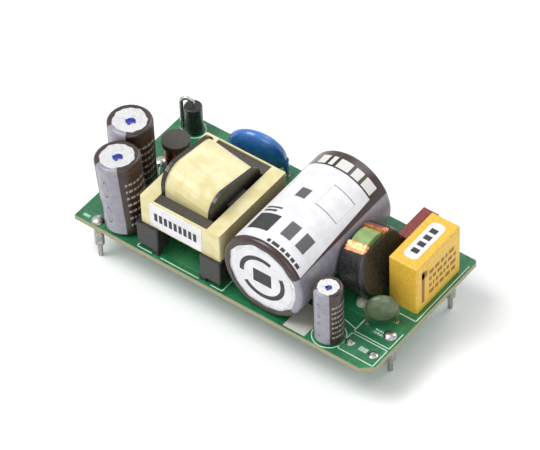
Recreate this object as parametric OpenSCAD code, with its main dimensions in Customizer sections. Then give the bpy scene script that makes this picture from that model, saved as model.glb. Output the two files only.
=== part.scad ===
/* [Board] */
// Length of the circuit board, along X
board_length = 63.5; // [63.5:0.5:66]
// Width of the circuit board, along Y
board_width = 31.75; // [31.75:0.25:34]
// Thickness of the circuit board
board_thick = 1; // [0.8:0.1:1.2]

/* [Terminals] */
// Distance between the two terminals of a pair
terminal_pitch = 17.78; // [17.4:0.02:18]
// Distance between the input pair and the output pair
terminal_span = 57.15; // [56.8:0.05:57.4]
// Diameter of the thick upper stretch of a terminal
barrel_diameter = 1.74; // [1.6:0.02:1.9]
// Height of the thick stretch, which spaces the board off its host
barrel_height = 4.6; // [4.2:0.1:6]
// Diameter of the thin tail that enters the host board
tail_diameter = 0.88; // [0.7:0.02:1]
// Length of the thin tail
tail_length = 3; // [2:0.1:4]

/* [Reservoir capacitor] */
// Outer diameter of the large lying capacitor
bulk_diameter = 16.7; // [16:0.1:16.8]
// Length of the large lying capacitor
bulk_length = 26.1; // [24:0.1:26.3]

/* [Output and bias capacitors] */
// Outer diameter of each output capacitor
output_can_diameter = 8.2; // [8:0.05:8.2]
// Height of each output capacitor
output_can_height = 15.3; // [12:0.1:15.6]
// Outer diameter of the bias capacitor
bias_can_diameter = 5.26; // [5:0.02:5.4]
// Height of the bias capacitor
bias_can_height = 12; // [10:0.1:13]

/* [Transformer] */
// Length of the assembled core, along X
core_length = 16.6; // [16.4:0.1:16.7]
// Width of the assembled core, along Y
core_width = 18.4; // [18.2:0.1:18.5]
// Thickness of the core, along Z
core_thick = 5.9; // [5.6:0.1:6]
// Thickness of the yellow tape
tape_thick = 0.25; // [0.15:0.05:0.3]

/* [Chokes] */
// Radius of the line choke's wrapping
wrap_radius = 6.3; // [6.2:0.05:6.4]
// Turns on each half of the line choke
line_turns = 14; // [8:1:14]
// Radius of the output choke's flanges
drum_radius = 2.6; // [2.4:0.1:2.8]

/* [Hidden] */
$fn = 48;
eps = 0.01;

// Height of the board's top above the tips of the terminals
board_top = board_thick + barrel_height + tail_length;
board_chamfer = [2.1, 1.8];
board_corner_cut = 0.4;

// Plated holes and the wires in them
lead_radius = 0.3;
hole_radius = 0.45;
lead_below = 0.9;
pad_radius = 0.85;
terminal_shank_radius = 0.55;
terminal_hole_radius = 0.7;
terminal_shank_height = 0.35;
terminal_dome_radius = 1.25;
terminal_dome_height = 0.7;

// Terminals: the output pair at the left end, the input pair at the right end
output_terminal_x = -27.5;
output_terminal_y = -14.6;
input_terminal_y = -6.95;
input_terminal_x = output_terminal_x + terminal_span;
output_front = [output_terminal_x, output_terminal_y];
output_back = [output_terminal_x, output_terminal_y + terminal_pitch];
input_front = [input_terminal_x, input_terminal_y];
input_back = [input_terminal_x, input_terminal_y + terminal_pitch];
terminals = [output_front, output_back, input_front, input_back];

// Large lying capacitor: its axis runs along Y
bulk_radius = bulk_diameter / 2;
bulk_x = 8.93;
bulk_front_y = -15.05;
bulk_back_y = bulk_front_y + bulk_length;
bulk_sleeve_thick = 0.2;
bulk_edge = 0.8;
bulk_end_lip = 6.9;
bulk_lead_pitch = 7.5;
bulk_lead_bend = 1.4;
bulk_lead_y = 13.6;
bulk_seal_radius = 6.6;
bulk_seal_depth = 1.4;
label_thick = 0.1;
label_front_y = -14.1;
label_back_y = 6.5;
label_from = 32;
label_to = 136;
end_sticker_radius = 6.25;

// Upright capacitors: foot on the board and axis direction as a lean
output_radius = output_can_diameter / 2;
output_a_foot = [-23.2, -11.6];
output_a_lean = [-4.7, 0.55];
output_b_foot = [-27.5, -4.3];
output_b_lean = [-0.55, -0.75];
output_b_lift = 0.9;
output_pitch = 3.5;
bias_radius = bias_can_diameter / 2;
bias_foot = [21.1, -12.7];
bias_pitch = 2;
can_sleeve_thick = 0.14;
can_edge = 0.55;
can_end_lip = 0.76;
can_seal_ratio = 0.74;
vent_depth = 0.12;
vent_width = 0.3;

// Transformer: the core lies flat, the coil's axis runs along X
core_x = -8.95;
core_y = -5.1;
core_bottom = 6.05;
yoke = 2.55;
outer_leg = 2.3;
centre_leg = 4.7;
core_gap = 0.05;
tape_rise = 0.3;
bobbin_wall = 0.6;
flange_thick = 0.7;
flange_left_x = -14.7;
flange_right_x = -4.7;
rail_bottom = 1;
rail_front_y = -15.2;
rail_back_y = 5;
rail_left = [-18.3, -13.6];
rail_right = [-4.6, -0.1];
rail_edge = 0.4;
foot_size = 1.3;
coil_bottom = 1.4;
coil_slack = 0.2;
winding_skin = 0.3;
pin_rows = 4;
pin_pitch = 4;
pin_first_y = -11.2;
pin_radius = 0.35;

// Output choke: an upright drum
drum = [-23.7, 3.1];
drum_height = 8;
drum_flange = 1.2;
drum_post_radius = 1.1;
drum_wire = 0.5;
drum_layers = 2;

// Snubber diode: an axial diode standing on end
diode_foot = [-27.65, 13];
diode_radius = 1.68;
diode_bottom = 0.3;
diode_length = 5.7;
diode_lead_radius = 0.4;
diode_hole_radius = 0.55;
diode_return = [-2.05, -0.8];
diode_rise = 0.5;

// Blue disc capacitor between the two sides
disc_centre = [-11.8, 11.05, 5.75];
disc_radius = 5.5;
disc_thick = 3.5;
disc_tilt = 14.67;
disc_turn = 13.3;
disc_pitch = 10;

// Line choke: an upright ring, its axis along X, leaning against the capacitor
line_centre = [20.5, 0.3, 6.95];
line_lean = -12;
wrap_half = 2.6;
wrap_wall = 0.22;
wrap_open_height = 4.7;
wrap_foot_height = 5.1;
line_wire = 2 * lead_radius;
wrap_edge = wrap_wall + line_wire;
line_slack = 0.02;
ring_outer = wrap_radius - wrap_wall - line_wire - line_slack;
ring_inner = 2.9;
ring_half = wrap_half - wrap_wall - line_wire - line_slack;
line_first = 22;
line_step = 6.3;
line_bed = 0.42;
line_groove = 0.22;
line_lead_side = ring_half + line_wire / 2;
line_lead_top = [5, -1.2];
line_lead_foot = [2, -5.9];

// Film capacitor, fuse and thermistor at the input end
film_box = [[24.6, -0.4], [30.5, 12.4]];
film_height = 10.85;
film_wall = 0.6;
film_edge = 0.35;
film_pitch = 10;
film_fill = 1.2;
sticker_size = [2.9, 9.4];
sticker_thick = 0.06;
fuse_box = [[21.1, 7], [24.4, 14.9]];
fuse_height = 8;
fuse_edge = 0.3;
fuse_pitch = 5.08;
thermistor_centre = [26.64, -5.19, 3.5];
thermistor_radius = 2.85;
thermistor_thick = 2.2;
thermistor_turn = 38;
thermistor_pitch = 2.5;
dab_centre = [21.45, -3.6];

// Parts under the board
chip_lead_thick = 0.2;

// Every wire hole in the board, grouped by the part whose wires it takes
bulk_holes = [for (s = [-1, 1]) [bulk_x + s * bulk_lead_pitch / 2, bulk_lead_y]];
output_a_holes = [for (s = [-1, 1]) output_a_foot + [s * output_pitch / 2, 0]];
output_b_holes = [for (s = [-1, 1]) output_b_foot + [s * output_pitch / 2, 0]];
bias_holes = [for (s = [-1, 1]) bias_foot + [s * bias_pitch / 2, 0]];
rail_middles = [(rail_left[0] + rail_left[1]) / 2, (rail_right[0] + rail_right[1]) / 2];
transformer_holes = [for (x = rail_middles) for (i = [0 : pin_rows - 1])
    [x, pin_first_y + i * pin_pitch]];
drum_holes = [for (s = [-1, 1]) drum + [s * 1.6, 0]];
diode_holes = [diode_foot, diode_foot + diode_return];
disc_axis = [cos(disc_turn), sin(disc_turn)];
disc_knee = 0.35;
disc_reach = (disc_centre[2] - disc_knee) * tan(disc_tilt);
disc_foot = [disc_centre[0], disc_centre[1]] + disc_reach * [-disc_axis[1], disc_axis[0]];
disc_holes = [for (s = [-1, 1]) disc_foot + s * disc_pitch / 2 * disc_axis];
line_exits = [for (side = [-1, 1]) for (x = [-line_lead_side, line_lead_side])
    line_point([x, side * line_lead_foot[0], line_lead_foot[1]])];
line_holes = [for (p = line_exits) [p[0], p[1]]];
film_centre = (film_box[0] + film_box[1]) / 2;
film_holes = [for (s = [-1, 1]) film_centre + [0, s * film_pitch / 2]];
fuse_centre = (fuse_box[0] + fuse_box[1]) / 2;
fuse_holes = [for (s = [-1, 1]) fuse_centre + [0, s * fuse_pitch / 2]];
thermistor_axis = [cos(thermistor_turn), sin(thermistor_turn)];
thermistor_holes = [for (s = [-1, 1])
    [thermistor_centre[0], thermistor_centre[1]] + s * thermistor_pitch * thermistor_axis];
spare_holes = [[24.94, -12], [29.8, -12.1]];
wired_holes = concat(bulk_holes, output_a_holes, output_b_holes, bias_holes,
    transformer_holes, drum_holes, disc_holes, line_holes, film_holes,
    fuse_holes, thermistor_holes);

// A point of the line choke's own frame, placed on the board
function line_point(p) = line_centre
    + [p[0] * cos(line_lean) + p[2] * sin(line_lean), p[1],
       p[2] * cos(line_lean) - p[0] * sin(line_lean)];

function unit(v) = v / norm(v);
function polar(radius, angle) = radius * [cos(angle), sin(angle)];
function heading(v) = atan2(v[1], v[0]);
function wrapped(angle) = angle > 180 ? angle - 360 : angle < -180 ? angle + 360 : angle;

// Points of an arc about a centre
function arc(centre, radius, from, to, steps = 6) =
    [for (i = [0 : steps]) centre + polar(radius, from + (to - from) * i / steps)];

// Points that round the corner between its two neighbours
function corner_arc(before, at, after, radius, steps) =
    let (a = unit(before - at),
        b = unit(after - at),
        half = acos(a * b) / 2,
        centre = at + unit(a + b) * radius / sin(half),
        start = heading(at + a * radius / tan(half) - centre),
        turn = wrapped(heading(at + b * radius / tan(half) - centre) - start))
    arc(centre, radius, start, start + turn, steps);

// Closed outline through corners, each rounded by its own radius
function rounded_outline(corners, radii, steps = 6) =
    let (n = len(corners))
    [for (i = [0 : n - 1]) each corner_arc(
        corners[(i + n - 1) % n], corners[i], corners[(i + 1) % n], radii[i], steps)];

module raised() {
    translate([0, 0, board_top]) children();
}

module rounded_rectangle(low, high, radius) {
    size = high - low;
    translate(low + [radius, 0]) square([size[0] - 2 * radius, size[1]]);
    translate(low + [0, radius]) square([size[0], size[1] - 2 * radius]);
    for (x = [low[0] + radius, high[0] - radius])
        for (y = [low[1] + radius, high[1] - radius])
            translate([x, y]) circle(radius);
}

// Extrudes a (Y, Z) outline along X
module along_x(from, to) {
    translate([from, 0, 0]) rotate([90, 0, 90]) linear_extrude(to - from) children();
}

// Box whose upright and upper edges are rounded
module moulded_box(footprint, height, radius) {
    low = footprint[0];
    high = footprint[1];
    intersection() {
        linear_extrude(height) rounded_rectangle(low, high, radius);
        along_x(low[0], high[0]) rounded_rectangle([low[1], -height], [high[1], height], radius);
        translate([0, high[1], 0]) rotate([90, 0, 0]) linear_extrude(high[1] - low[1])
            rounded_rectangle([low[0], -height], [high[0], height], radius);
    }
}

/* Board, terminals and solder */

module circuit_board() {
    x = board_length / 2;
    y = board_width / 2;
    cut = board_corner_cut;
    color("seagreen") raised() difference() {
        translate([0, 0, -board_thick]) linear_extrude(board_thick)
            polygon([[-x, -y], [x - board_chamfer[0], -y], [x, -y + board_chamfer[1]],
                [x, y - cut], [x - cut, y], [-x, y]]);
        for (p = concat(wired_holes, spare_holes)) board_hole(p, hole_radius);
        for (p = diode_holes) board_hole(p, diode_hole_radius);
        for (p = terminals) board_hole(p, terminal_hole_radius);
    }
}

module board_hole(p, radius) {
    translate([p[0], p[1], -board_thick - 1]) cylinder(r = radius, h = board_thick + 2);
}

// A terminal's shank passes through the board and ends a little above it
module terminal(p, rise) {
    color("silver") translate([p[0], p[1], 0]) {
        cylinder(d = tail_diameter, h = tail_length + 1);
        translate([0, 0, tail_length]) cylinder(d = barrel_diameter, h = barrel_height);
        translate([0, 0, tail_length + barrel_height - 1])
            cylinder(r = terminal_shank_radius, h = 1 + board_thick + rise);
    }
}

// Solder fills each plated hole and domes over the end, except under the film capacitor
module terminal_solder() {
    color("gainsboro") raised() for (p = terminals) translate([p[0], p[1], 0]) {
        rise = p == input_back ? 0 : terminal_shank_height;
        difference() {
            union() {
                translate([0, 0, -board_thick]) cylinder(r = terminal_hole_radius, h = board_thick);
                if (rise > 0) dome(terminal_dome_radius, terminal_dome_height);
            }
            translate([0, 0, -board_thick - 1])
                cylinder(r = terminal_shank_radius, h = board_thick + 1 + rise);
        }
    }
}

// Solder in one hole, with its cone round the wire under the board
module solder_joint(p, wire, hole) {
    flare = hole + pad_radius - hole_radius;
    translate([p[0], p[1], 0]) rotate_extrude() polygon([
        [wire, 0], [hole, 0], [hole, -board_thick], [flare, -board_thick],
        [flare * 0.8, -board_thick - 0.15], [wire + 0.12, -board_thick - lead_below * 0.8],
        [wire, -board_thick - lead_below * 0.85]]);
}

module spare_joint(p) {
    translate([p[0], p[1], -board_thick - 0.08]) {
        cylinder(r = hole_radius, h = board_thick + 0.12);
        cylinder(r = pad_radius, h = 0.08);
        translate([0, 0, board_thick + 0.08]) cylinder(r1 = pad_radius, r2 = 0.5, h = 0.14);
    }
}

module lead_solder() {
    color("gainsboro") raised() {
        for (p = wired_holes) solder_joint(p, lead_radius, hole_radius);
        for (p = diode_holes) solder_joint(p, diode_lead_radius, diode_hole_radius);
        for (p = spare_holes) spare_joint(p);
    }
}

// Straight wire from below the board up to a height
module lead(p, top, radius = lead_radius) {
    bottom = board_thick + lead_below;
    translate([p[0], p[1], -bottom]) cylinder(r = radius, h = top + bottom);
}

/* Radial capacitors: the local frame has the seal at z = 0 and the closed end at the top */

// Half section of a can with rounded edges
function can_section(radius, height, edge, low = 0) = concat(
    [[0, low]], arc([radius - edge, low + edge], edge, -90, 0),
    arc([radius - edge, height - edge], edge, 0, 90), [[0, height]]);

module can_sleeve(radius, height, thick, edge, lip) {
    difference() {
        rotate_extrude() polygon(can_section(radius, height, edge));
        rotate_extrude() polygon(can_section(radius - thick, height - thick, edge - thick / 2, thick));
        translate([0, 0, -1]) cylinder(r = lip, h = height + 2);
    }
}

module can_body(radius, height, thick, edge, seal_radius, seal_depth) {
    difference() {
        rotate_extrude() polygon(can_section(radius - thick, height - thick, edge - thick / 2, thick));
        cylinder(r = seal_radius, h = thick + seal_depth);
    }
}

// Scored lines that let the closed end open under pressure
module vent(reach, top) {
    for (angle = [90, 210, 330])
        rotate([0, 0, angle]) translate([-0.15, -vent_width / 2, top - vent_depth])
            cube([reach, vent_width, 1]);
}

module seal(radius, thick, depth) {
    translate([0, 0, thick]) cylinder(r = radius, h = depth);
}

// Stands a can on its foot, leaning, with its lowest edge on the board
module leaning(foot, lean, radius, lift = 0) {
    tilt = acos(cos(lean[0]) * cos(lean[1]));
    rise = (radius - can_edge) * sin(tilt) + can_edge * (1 - cos(tilt)) + lift;
    raised() translate([foot[0], foot[1], rise]) rotate([lean[1], lean[0], 0]) children();
}

module upright_can(radius, height) {
    difference() {
        can_body(radius, height, can_sleeve_thick, can_edge, radius * can_seal_ratio, 1.2);
        vent(radius * can_end_lip * 0.72, height - can_sleeve_thick);
    }
}

module upright_sleeve(radius, height) {
    can_sleeve(radius, height, can_sleeve_thick, can_edge, radius * can_end_lip);
}

// Two wires that end at the underside of the can above them
module upright_leads(holes, foot, lean, radius, lift = 0) {
    difference() {
        raised() for (p = holes) lead(p, lift + 2);
        leaning(foot, lean, radius, lift) translate([0, 0, can_sleeve_thick])
            cylinder(r = radius, h = 10);
    }
}

module output_a() {
    leaning(output_a_foot, output_a_lean, output_radius) children();
}

module output_b() {
    leaning(output_b_foot, output_b_lean, output_radius, output_b_lift) children();
}

module bias() {
    leaning(bias_foot, [0, 0], bias_radius) children();
}

module output_can_a() { color("gainsboro") output_a() upright_can(output_radius, output_can_height); }
module output_can_b() { color("gainsboro") output_b() upright_can(output_radius, output_can_height); }
module bias_can() { color("gainsboro") bias() upright_can(bias_radius, bias_can_height); }

module output_sleeve_a() { color("saddlebrown") output_a() upright_sleeve(output_radius, output_can_height); }
module output_sleeve_b() { color("saddlebrown") output_b() upright_sleeve(output_radius, output_can_height); }
module bias_sleeve() { color("saddlebrown") bias() upright_sleeve(bias_radius, bias_can_height); }

module upright_seal(radius) {
    seal(radius * can_seal_ratio, can_sleeve_thick, 1.2);
}

module output_seal_a() { color("dimgray") output_a() upright_seal(output_radius); }
module output_seal_b() { color("dimgray") output_b() upright_seal(output_radius); }
module bias_seal() { color("dimgray") bias() upright_seal(bias_radius); }

module output_leads_a() {
    color("silver") upright_leads(output_a_holes, output_a_foot, output_a_lean, output_radius);
}

module output_leads_b() {
    color("silver") upright_leads(output_b_holes, output_b_foot, output_b_lean, output_radius, output_b_lift);
}

module bias_leads() {
    color("silver") upright_leads(bias_holes, bias_foot, [0, 0], bias_radius);
}

/* Reservoir capacitor, lying along Y with its closed end at the front */

module lying() {
    raised() translate([bulk_x, bulk_back_y, bulk_radius]) rotate([90, 0, 0]) children();
}

module reservoir_can() {
    color("gainsboro") lying()
        can_body(bulk_radius, bulk_length, bulk_sleeve_thick, bulk_edge, bulk_seal_radius, bulk_seal_depth);
}

module reservoir_sleeve() {
    color("saddlebrown") lying()
        can_sleeve(bulk_radius, bulk_length, bulk_sleeve_thick, bulk_edge, bulk_end_lip);
}

module reservoir_seal() {
    color("dimgray") lying() seal(bulk_seal_radius, bulk_sleeve_thick, bulk_seal_depth);
}

module reservoir_end_sticker() {
    color("white") lying() translate([0, 0, bulk_length - bulk_sleeve_thick])
        cylinder(r = end_sticker_radius, h = label_thick);
}

// Wires that leave the back end, bend down and enter the board
module reservoir_leads() {
    start = bulk_back_y - bulk_sleeve_thick;
    bend_y = bulk_lead_y - bulk_lead_bend;
    bend_z = bulk_radius - bulk_lead_bend;
    color("silver") raised() for (p = bulk_holes) {
        translate([p[0], start, bulk_radius]) rotate([-90, 0, 0])
            cylinder(r = lead_radius, h = bend_y - start);
        translate([p[0], bend_y, bend_z]) rotate([90, 0, 90])
            rotate_extrude(angle = 90) translate([bulk_lead_bend, 0]) circle(lead_radius);
        lead(p, bend_z);
    }
}

// Paper label over the top of the sleeve; its lower edge runs slightly askew
module reservoir_label() {
    skew = 3.6;
    outer = bulk_radius + label_thick;
    color("white") raised() translate([bulk_x, 0, bulk_radius]) rotate([90, 0, 0])
        difference() {
            translate([0, 0, -label_back_y]) rotate([0, 0, label_from - 8])
                rotate_extrude(angle = label_to - label_from + 8)
                    translate([bulk_radius, 0]) square([label_thick, label_back_y - label_front_y]);
            rotate([0, 0, label_from]) translate([0, 0, (-label_front_y - label_back_y) / 2])
                rotate([skew, 0, 0]) translate([0, -outer, -bulk_length])
                    cube([2 * outer, outer, 2 * bulk_length]);
        }
}

/* Transformer */

core_left = core_x - core_length / 2;
core_right = core_x + core_length / 2;
core_front = core_y - core_width / 2;
core_back = core_y + core_width / 2;
core_top = core_bottom + core_thick;
window_front = core_front + outer_leg;
window_back = core_back - outer_leg;

// Left half of the core: a yoke with an outer leg each side and one in the middle
module core_half() {
    leg_end = core_x - core_gap / 2;
    translate([0, 0, core_bottom]) linear_extrude(core_thick) {
        translate([core_left, core_front]) square([yoke, core_width]);
        for (y = [core_front, core_back - outer_leg])
            translate([core_left, y]) square([leg_end - core_left, outer_leg]);
        translate([core_left, core_y - centre_leg / 2]) square([leg_end - core_left, centre_leg]);
    }
}

module transformer_core_left() {
    color("dimgray") raised() core_half();
}

module transformer_core_right() {
    color("dimgray") raised() translate([2 * core_x, 0, 0]) mirror([1, 0, 0]) core_half();
}

// Tape round the core's edge, with a strip over each yoke
module transformer_core_tape() {
    low = [core_left, core_front];
    high = [core_right, core_back];
    edge = [tape_thick, tape_thick];
    color("lemonchiffon") raised() {
        translate([0, 0, core_bottom]) linear_extrude(core_thick + tape_rise) difference() {
            rounded_rectangle(low - edge, high + edge, tape_thick);
            translate(low) square(high - low);
        }
        translate([0, 0, core_top]) linear_extrude(tape_rise) difference() {
            rounded_rectangle(low - edge, high + edge, tape_thick);
            translate([core_left + yoke, core_front])
                square([core_length - 2 * yoke, core_width]);
        }
    }
}

coil_left = flange_left_x + flange_thick;
coil_right = flange_right_x;
left_coil = [[-11.85, coil_bottom], [-11.85, 17.9], [1.65, 15.8], [1.65, coil_bottom]];
right_coil = [[-11.85, coil_bottom], [-11.85, 16.1], [1.65, 13.8], [1.65, coil_bottom]];
coil_radii = [2.5, 3.6, 2.6, 2.5];

// Body between two outlines at the flanges, each drawn in from the full coil by an inset
module coil_body(inset) {
    hull() {
        along_x(coil_left, coil_left + eps)
            polygon(rounded_outline(drawn_in(left_coil, inset), drawn_radii(inset)));
        along_x(coil_right - eps, coil_right)
            polygon(rounded_outline(drawn_in(right_coil, inset), drawn_radii(inset)));
    }
}

function drawn_in(corners, inset) = [
    corners[0] + [inset, inset], corners[1] + [inset, -inset],
    corners[2] - [inset, inset], corners[3] + [-inset, inset]];
function drawn_radii(inset) = [for (r = coil_radii) r - inset];

module core_tunnel(wall) {
    y = centre_leg / 2 + wall;
    along_x(coil_left - 1, coil_right + 1)
        translate([core_y - y, core_bottom - wall]) square([2 * y, core_thick + 2 * wall]);
}

module transformer_winding() {
    color("peru") raised() difference() {
        coil_body(winding_skin);
        core_tunnel(bobbin_wall);
    }
}

module transformer_winding_tape() {
    color("lemonchiffon") raised() difference() {
        coil_body(0);
        coil_body(winding_skin);
    }
}

// Flange outlines: they stand slightly proud of the coil, inside the core's window
flange_margin = 0.15;
left_flange = [[window_front, rail_bottom], [window_front, 18.2],
    [window_back, 16], [window_back, rail_bottom]];
right_flange = [[window_front, rail_bottom], [window_front, 16.5],
    [window_back, 14.1], [window_back, rail_bottom]];
flange_radii = [0.6, 3.4, 2.2, 0.6];

module rail(span) {
    translate([0, 0, rail_bottom]) linear_extrude(core_bottom - rail_bottom)
        rounded_rectangle([span[0], rail_front_y], [span[1], rail_back_y], rail_edge);
}

// Small feet that hold a rail clear of the board
module rail_feet(span, inner) {
    x = inner > 0 ? span[1] - foot_size : span[0];
    for (y = [rail_front_y, rail_back_y - foot_size])
        translate([x, y, 0]) cube([foot_size, foot_size, rail_bottom + eps]);
}

module transformer_bobbin() {
    color("darkslategray") raised() difference() {
        union() {
            along_x(coil_left - flange_thick, coil_left)
                polygon(rounded_outline(left_flange, flange_radii));
            along_x(coil_right, coil_right + flange_thick)
                polygon(rounded_outline(right_flange, flange_radii));
            along_x(coil_left - eps, coil_right + eps)
                translate([core_y - centre_leg / 2 - bobbin_wall, core_bottom - bobbin_wall])
                    square([centre_leg + 2 * bobbin_wall, core_thick + 2 * bobbin_wall]);
            difference() {
                union() {
                    rail(rail_left);
                    rail(rail_right);
                    rail_feet(rail_left, 1);
                    rail_feet(rail_right, -1);
                }
                translate([coil_left, window_front, 0])
                    cube([coil_right - coil_left, window_back - window_front, core_bottom + 1]);
            }
        }
        core_tunnel(0);
        for (p = transformer_holes) translate([p[0], p[1], -1]) cylinder(r = pin_radius, h = 4);
    }
}

module transformer_pins() {
    color("silver") raised() for (p = transformer_holes) {
        lead(p, 0.6);
        translate([p[0], p[1], 0.5]) cylinder(r = pin_radius, h = 2.5);
    }
}

module transformer_label() {
    front = core_front - tape_thick;
    color("white") raised() translate([-15.4, front - label_thick, core_bottom + 0.4])
        cube([11.2, label_thick, 5.2]);
}

/* Output choke and snubber diode */

module output_choke_core() {
    edge = 0.15;
    color("dimgray") raised() translate([drum[0], drum[1], 0]) difference() {
        rotate_extrude() polygon(concat(
            [[0, 0]], arc([drum_radius - edge, edge], edge, -90, 0, 3),
            arc([drum_radius - edge, drum_flange - edge], edge, 0, 90, 3),
            [[drum_post_radius, drum_flange], [drum_post_radius, drum_height - drum_flange]],
            arc([drum_radius - edge, drum_height - drum_flange + edge], edge, -90, 0, 3),
            arc([drum_radius - edge, drum_height - edge], edge, 0, 90, 3),
            [[0, drum_height]]));
        for (s = [-1, 1]) translate([s * 1.6, 0, -1])
            cylinder(r = lead_radius, h = drum_flange + 1 + eps);
    }
}

// Turns of wire in the drum's groove, and the two ends that go down through its foot
module output_choke_winding() {
    low = drum_flange;
    high = drum_height - drum_flange;
    turns = floor((high - low) / drum_wire);
    middle = drum_post_radius + drum_wire * (drum_layers - 0.5);
    color("peru") raised() {
        translate([drum[0], drum[1], 0]) rotate_extrude() {
            translate([drum_post_radius, low]) square([middle - drum_post_radius, high - low]);
            for (i = [0 : turns - 1])
                translate([middle, low + (i + 0.5) * (high - low) / turns]) circle(drum_wire / 2);
        }
        for (p = drum_holes) lead(p, drum_flange + 0.2);
    }
}

module snubber_diode() {
    edge = 0.3;
    color("dimgray") raised() translate([diode_foot[0], diode_foot[1], diode_bottom])
        rotate_extrude() polygon(can_section(diode_radius, diode_length, edge));
}

// The lower wire goes straight down; the upper one turns over and comes down beside the body
module snubber_diode_leads() {
    top = diode_bottom + diode_length;
    hoop = norm(diode_return) / 2;
    color("silver") raised() translate([diode_foot[0], diode_foot[1], 0])
        rotate([0, 0, heading(diode_return)]) {
            lead([0, 0], diode_bottom, diode_lead_radius);
            translate([0, 0, top]) cylinder(r = diode_lead_radius, h = diode_rise);
            translate([hoop, 0, top + diode_rise]) rotate([90, 0, 0])
                rotate_extrude(angle = 180) translate([hoop, 0]) circle(diode_lead_radius);
            lead([2 * hoop, 0], top + diode_rise, diode_lead_radius);
        }
}

/* Dipped discs: the blue capacitor and the thermistor */

// Half section of a dipped disc, rounder at the rim than an ellipse
function disc_section(radius, thick, steps = 20) =
    [for (i = [0 : steps]) let (a = -90 + 180 * i / steps)
        [radius * pow(cos(a), 0.85), sign(a) * thick / 2 * pow(abs(sin(a)), 0.8)]];

module dipped_disc(radius, thick) {
    rotate([90, 0, 0]) rotate_extrude() polygon(disc_section(radius, thick));
}

module disc_place() {
    raised() translate(disc_centre) rotate([0, 0, disc_turn]) rotate([disc_tilt, 0, 0]) children();
}

// Runs of coating that follow the wires down from the disc's rim
module disc_capacitor() {
    color("steelblue") disc_place() {
        dipped_disc(disc_radius, disc_thick);
        for (s = [-1, 1]) translate([s * disc_pitch / 2, 0, -4.2])
            cylinder(r1 = lead_radius + 0.15, r2 = 0.8, h = 3.2);
    }
}

module disc_capacitor_leads() {
    color("silver") {
        disc_place() for (s = [-1, 1])
            translate([s * disc_pitch / 2, 0, 0]) {
                knee = (disc_centre[2] - disc_knee) / cos(disc_tilt);
                translate([0, 0, -knee]) cylinder(r = lead_radius, h = knee - 4.2);
                translate([0, 0, -knee]) sphere(lead_radius * 1.08);
            }
        raised() for (p = disc_holes) lead(p, disc_knee);
    }
}

module thermistor_place() {
    raised() translate(thermistor_centre) rotate([0, 0, thermistor_turn]) children();
}

module thermistor() {
    color("darkolivegreen") thermistor_place() {
        dipped_disc(thermistor_radius, thermistor_thick);
        for (s = [-1, 1]) translate([s * thermistor_pitch, 0, -2.6])
            cylinder(r1 = lead_radius + 0.1, r2 = 0.6, h = 2.4);
    }
}

module thermistor_leads() {
    color("silver") raised()
        for (p = thermistor_holes) lead(p, thermistor_centre[2] - 2.6);
}

/* Line choke: a ring core with two windings in an open shrink tube */

module line_place() {
    raised() translate(line_centre) rotate([0, line_lean, 0]) children();
}

// Ring about the local X axis with a rectangular section
module ring(inner, outer, half) {
    rotate([0, 90, 0]) difference() {
        cylinder(r = outer, h = 2 * half, center = true);
        cylinder(r = inner, h = 2 * half + 1, center = true);
    }
}

module line_choke_core() {
    color("yellowgreen") line_place() ring(ring_inner, ring_outer, ring_half);
}

// Wire round the ring's section, over an arc of the ring counted from its top
module line_layer(side, from, sweep, inside, outside) {
    low = [ring_inner, -ring_half];
    high = [ring_outer, ring_half];
    start = side > 0 ? from : -from - sweep;
    rotate([0, -90, 0]) rotate([0, 0, start]) rotate_extrude(angle = sweep) difference() {
        rounded_rectangle(low - outside, high + outside, outside[0]);
        translate(low - inside) square(high - low + 2 * inside);
    }
}

// A half winding on one side, with its two ends running down inside the tube to the board
module line_winding(side) {
    fall = line_lead_foot - line_lead_top;
    line_place() {
        line_layer(side, line_first, (line_turns + line_groove) * line_step,
            [line_slack, 0], [line_bed, line_bed]);
        for (i = [0 : line_turns - 1])
            line_layer(side, line_first + (i + line_groove) * line_step,
                (1 - line_groove) * line_step, [line_bed, line_bed] / 2, [line_wire, line_wire]);
        for (x = [-line_lead_side, line_lead_side])
            translate([x, side * line_lead_top[0], line_lead_top[1]])
                rotate([side * atan2(-fall[0], fall[1]), 0, 0])
                    cylinder(r = lead_radius, h = norm(fall));
    }
    raised() for (p = line_exits) if (side * p[1] > side * line_centre[1]) {
        lead(p, p[2]);
        translate(p) sphere(lead_radius * 1.08);
    }
}

module line_choke_winding_front() { color("peru") line_winding(-1); }
module line_choke_winding_back() { color("peru") line_winding(1); }

// Half section of the wrapping, about the ring's axis
module wrap_section(radius, half, edge) {
    rotate([0, 90, 0]) rotate_extrude() polygon(concat([[0, -half]],
        arc([radius - edge, edge - half], edge, -90, 0, 5),
        arc([radius - edge, half - edge], edge, 0, 90, 5), [[0, half]]));
}

module line_choke_wrap() {
    wide = 2 * wrap_radius;
    color("dimgray") line_place() difference() {
        wrap_section(wrap_radius, wrap_half, wrap_edge);
        wrap_section(wrap_radius - wrap_wall, wrap_half - wrap_wall, wrap_edge - wrap_wall);
        translate([-wide, -wide, wrap_open_height]) cube(2 * wide);
        translate([-wide, -wide, -wrap_foot_height - 2 * wide]) cube(2 * wide);
    }
}

/* Film capacitor, fuse and adhesive */

module film_capacitor_case() {
    inset = [film_wall, film_wall];
    color("gold") raised() difference() {
        moulded_box(film_box, film_height, film_edge);
        translate([0, 0, -1]) linear_extrude(film_fill + 1)
            rounded_rectangle(film_box[0] + inset, film_box[1] - inset, film_edge);
    }
}

module film_capacitor_fill() {
    inset = [film_wall, film_wall];
    gap = 0.2;
    color("khaki") raised() translate([0, 0, gap]) linear_extrude(film_fill - gap)
        rounded_rectangle(film_box[0] + inset, film_box[1] - inset, film_edge);
}

module film_capacitor_leads() {
    color("silver") raised() for (p = film_holes) lead(p, 0.2);
}

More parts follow.
